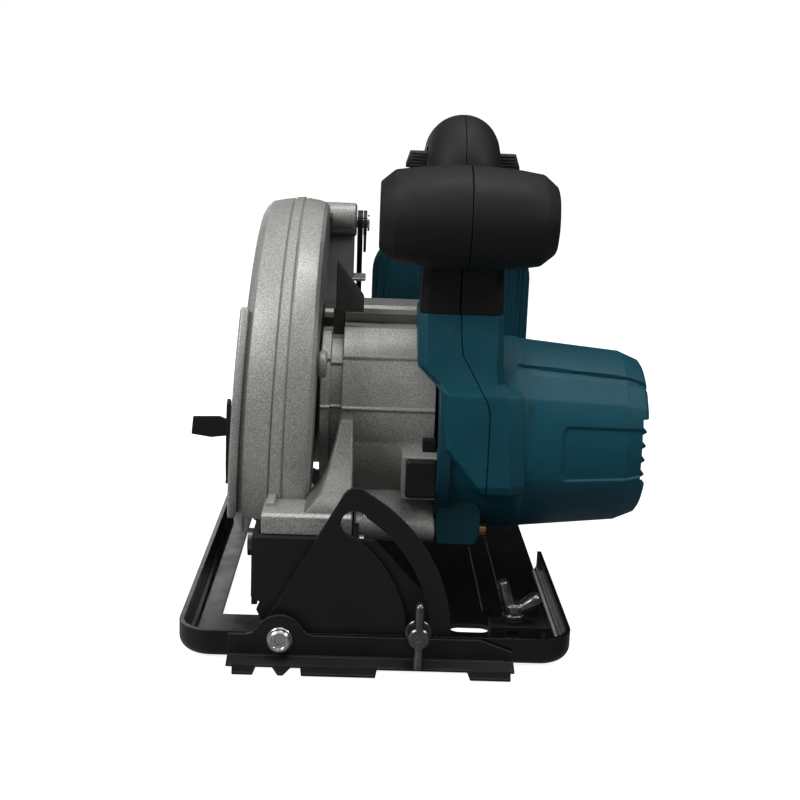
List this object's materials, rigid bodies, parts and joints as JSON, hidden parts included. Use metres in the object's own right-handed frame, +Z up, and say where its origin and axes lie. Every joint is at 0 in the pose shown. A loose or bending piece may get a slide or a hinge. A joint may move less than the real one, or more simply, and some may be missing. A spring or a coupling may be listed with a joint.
{
  "type": "circular saw",
  "caption": "Circular saw: steel base, quadrant bevel, swinging head with cast blade case, sprung lower guard, geared motor, D-handle, front grip and slide-on battery.",
  "frame": {"origin": "centre of the base's sole: midway across its width and length, on the underside", "axes": "+Z up from the sole, -Y the front of the saw (cutting direction), -X the blade side, +X the motor side"},
  "size_m": [0.227, 0.282, 0.249],
  "materials": {
    "base_black": "gloss black paint",
    "bracket_black": "satin black paint",
    "bright_steel": "zinc plated",
    "gunmetal": "dark nickel",
    "cast_silver": "hammered silver paint on a casting",
    "guard_metal": "pressed sheet",
    "teal": "moulded, matte",
    "teal_dark": "moulded, matte",
    "soft_black": "soft-touch overmould",
    "black_plastic": "moulded, matte",
    "spring_steel": "drawn wire",
    "blade_steel": "ground",
    "gear_steel": "machined",
    "bearing_steel": "ground",
    "copper": "enamelled wire",
    "brass": "plated",
    "board_green": "solder resist",
    "bumper_rubber": "rubber",
    "battery_black": "moulded, matte",
    "cell_blue": "shrink wrap",
    "latch_red": "moulded"
  },
  "bodies": {
    "base": {"base_plate": "base_black", "front_guide": "bracket_black", "bevel_quadrant": "bracket_black", "rear_quadrant": "bracket_black", "fence_clamp": "bracket_black", "bevel_pivot_screw": "bright_steel", "rear_pivot_pin": "bright_steel", "base_rivets": "gunmetal"},
    "fence_bolt": {"fence_wing_bolt": "gunmetal"},
    "tilt_frame": {"front_bracket": "bracket_black", "rear_bracket": "bracket_black", "depth_guide": "bracket_black", "depth_pivot_pin": "gunmetal"},
    "bevel_bolt": {"bevel_wing_bolt": "gunmetal"},
    "head": {"blade_case": "cast_silver", "gear_housing": "cast_silver", "gear_cover": "bright_steel", "guard_bumper": "bumper_rubber", "spindle_bearings": "bearing_steel", "motor_bearings": "bearing_steel", "depth_lock_bolt": "bright_steel", "gear_case_screws": "brass", "front_housing_left": "teal", "front_housing_right": "teal", "motor_housing": "teal", "motor_end_cap": "teal", "stator": "copper", "front_grip_left": "soft_black", "front_grip_right": "soft_black", "handle_left": "teal", "handle_right": "teal", "handle_overmould": "soft_black", "rear_housing_left": "teal_dark", "rear_housing_right": "teal_dark", "switch_body": "black_plastic", "controller_board": "board_green", "battery_terminal": "brass", "housing_screws": "gunmetal", "guard_spring": "spring_steel", "trigger_spring": "spring_steel"},
    "spindle": {"spindle": "gear_steel", "drive_gear": "gear_steel", "inner_flange": "gear_steel", "blade": "blade_steel", "outer_flange": "gear_steel", "blade_bolt": "gunmetal"},
    "rotor": {"rotor_shaft": "gear_steel", "rotor_core": "gear_steel", "fan": "black_plastic", "pinion": "gear_steel"},
    "lower_guard": {"lower_guard": "guard_metal", "guard_lever": "bracket_black"},
    "trigger": {"trigger": "black_plastic"},
    "lock_off": {"lock_off_lever": "black_plastic"},
    "shaft_lock": {"shaft_lock_button": "black_plastic"},
    "depth_lock": {"depth_lock_lever": "black_plastic"},
    "battery": {"battery_case": "battery_black", "battery_rail": "black_plastic", "battery_cells": "cell_blue"},
    "battery_latch": {"battery_button": "latch_red"}
  },
  "joints": [
    {"name": "bevel_tilt", "type": "hinge", "parent": "base", "child": "tilt_frame", "pos_m": [-0.0439, 0, 0.0116], "axis": [0, -1, 0], "range_deg": [0, 45]},
    {"name": "depth_swing", "type": "hinge", "parent": "tilt_frame", "child": "head", "pos_m": [-0.03, -0.102, 0.047], "axis": [-1, 0, 0], "range_deg": [0, 20]},
    {"name": "guard_swing", "type": "hinge", "parent": "head", "child": "lower_guard", "pos_m": [-0.039, 0.003, 0.0985], "axis": [-1, 0, 0], "range_deg": [-120, 0], "stiffness_Nm_per_rad": 0.06, "springref_deg": 45.84},
    {"name": "spindle_spin", "type": "hinge", "parent": "head", "child": "spindle", "pos_m": [-0.03, 0.003, 0.0985], "axis": [1, 0, 0], "continuous": true},
    {"name": "rotor_spin", "type": "hinge", "parent": "head", "child": "rotor", "pos_m": [0.05, -0.03383, 0.08863], "axis": [1, 0, 0], "continuous": true},
    {"name": "bevel_bolt_turn", "type": "hinge", "parent": "tilt_frame", "child": "bevel_bolt", "pos_m": [0.01932, -0.137, 0.01758], "axis": [0, -1, 0], "range_deg": [-180, 180]},
    {"name": "fence_bolt_turn", "type": "hinge", "parent": "base", "child": "fence_bolt", "pos_m": [0.065, -0.114, 0.02], "axis": [0, 0, 1], "range_deg": [-180, 180]},
    {"name": "depth_lock_turn", "type": "hinge", "parent": "head", "child": "depth_lock", "pos_m": [-0.0117, 0.05184, 0.18699], "axis": [1, 0, 0], "range_deg": [0, 55]},
    {"name": "trigger_pull", "type": "slide", "parent": "head", "child": "trigger", "axis": [0, 0, 1], "range_m": [0, 0.005], "stiffness_N_per_m": 400, "springref_m": -0.005, "deforming": ["trigger_spring"]},
    {"name": "lock_off_press", "type": "slide", "parent": "head", "child": "lock_off", "axis": [0, 0, -1], "range_m": [0, 0.003], "stiffness_N_per_m": 500, "springref_m": -0.003},
    {"name": "shaft_lock_press", "type": "slide", "parent": "head", "child": "shaft_lock", "axis": [0, 1, 0], "range_m": [0, 0.002], "stiffness_N_per_m": 500, "springref_m": -0.002},
    {"name": "battery_slide", "type": "slide", "parent": "head", "child": "battery", "axis": [0, 1, 0], "range_m": [0, 0.09]},
    {"name": "battery_latch_press", "type": "slide", "parent": "battery", "child": "battery_latch", "axis": [0, -1, 0], "range_m": [0, 0.003], "stiffness_N_per_m": 500, "springref_m": -0.003}
  ],
  "couplings": [
    {"joint": "rotor_spin", "follows": "spindle_spin", "ratio": -4.0833}
  ]
}
